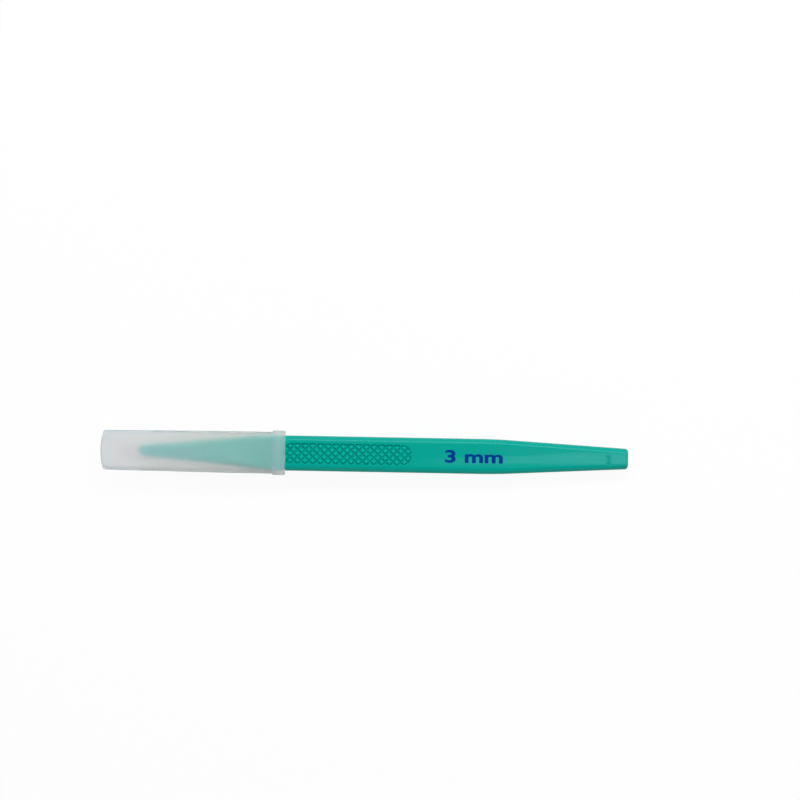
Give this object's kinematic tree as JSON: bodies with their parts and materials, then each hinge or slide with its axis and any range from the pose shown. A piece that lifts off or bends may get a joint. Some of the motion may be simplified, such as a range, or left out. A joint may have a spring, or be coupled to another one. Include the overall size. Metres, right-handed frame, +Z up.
{
  "type": "dermal curette",
  "caption": "Flat-handled skin curette with a small steel ring blade, crossed-groove grip panels and a frosted cap that pulls off.",
  "frame": {"origin": "on the table, under the middle of the whole instrument as it lies", "axes": "+X towards the tail of the handle, +Y across the flat handle, +Z up from the table; the instrument's own axis slopes down a little from the cap to the tail"},
  "size_m": [0.1504, 0.0126, 0.0085],
  "materials": {
    "handle_plastic": "satin moulded",
    "ring_steel": "ground",
    "cap_plastic": "frosted translucent"
  },
  "bodies": {
    "instrument": {"handle": "handle_plastic", "curette_ring": "ring_steel"},
    "sheath": {"cap": "cap_plastic"}
  },
  "joints": [
    {"name": "cap_pull", "type": "slide", "parent": "instrument", "child": "sheath", "axis": [-0.9998, 0, 0.0185], "range_m": [0, 0.052]}
  ]
}
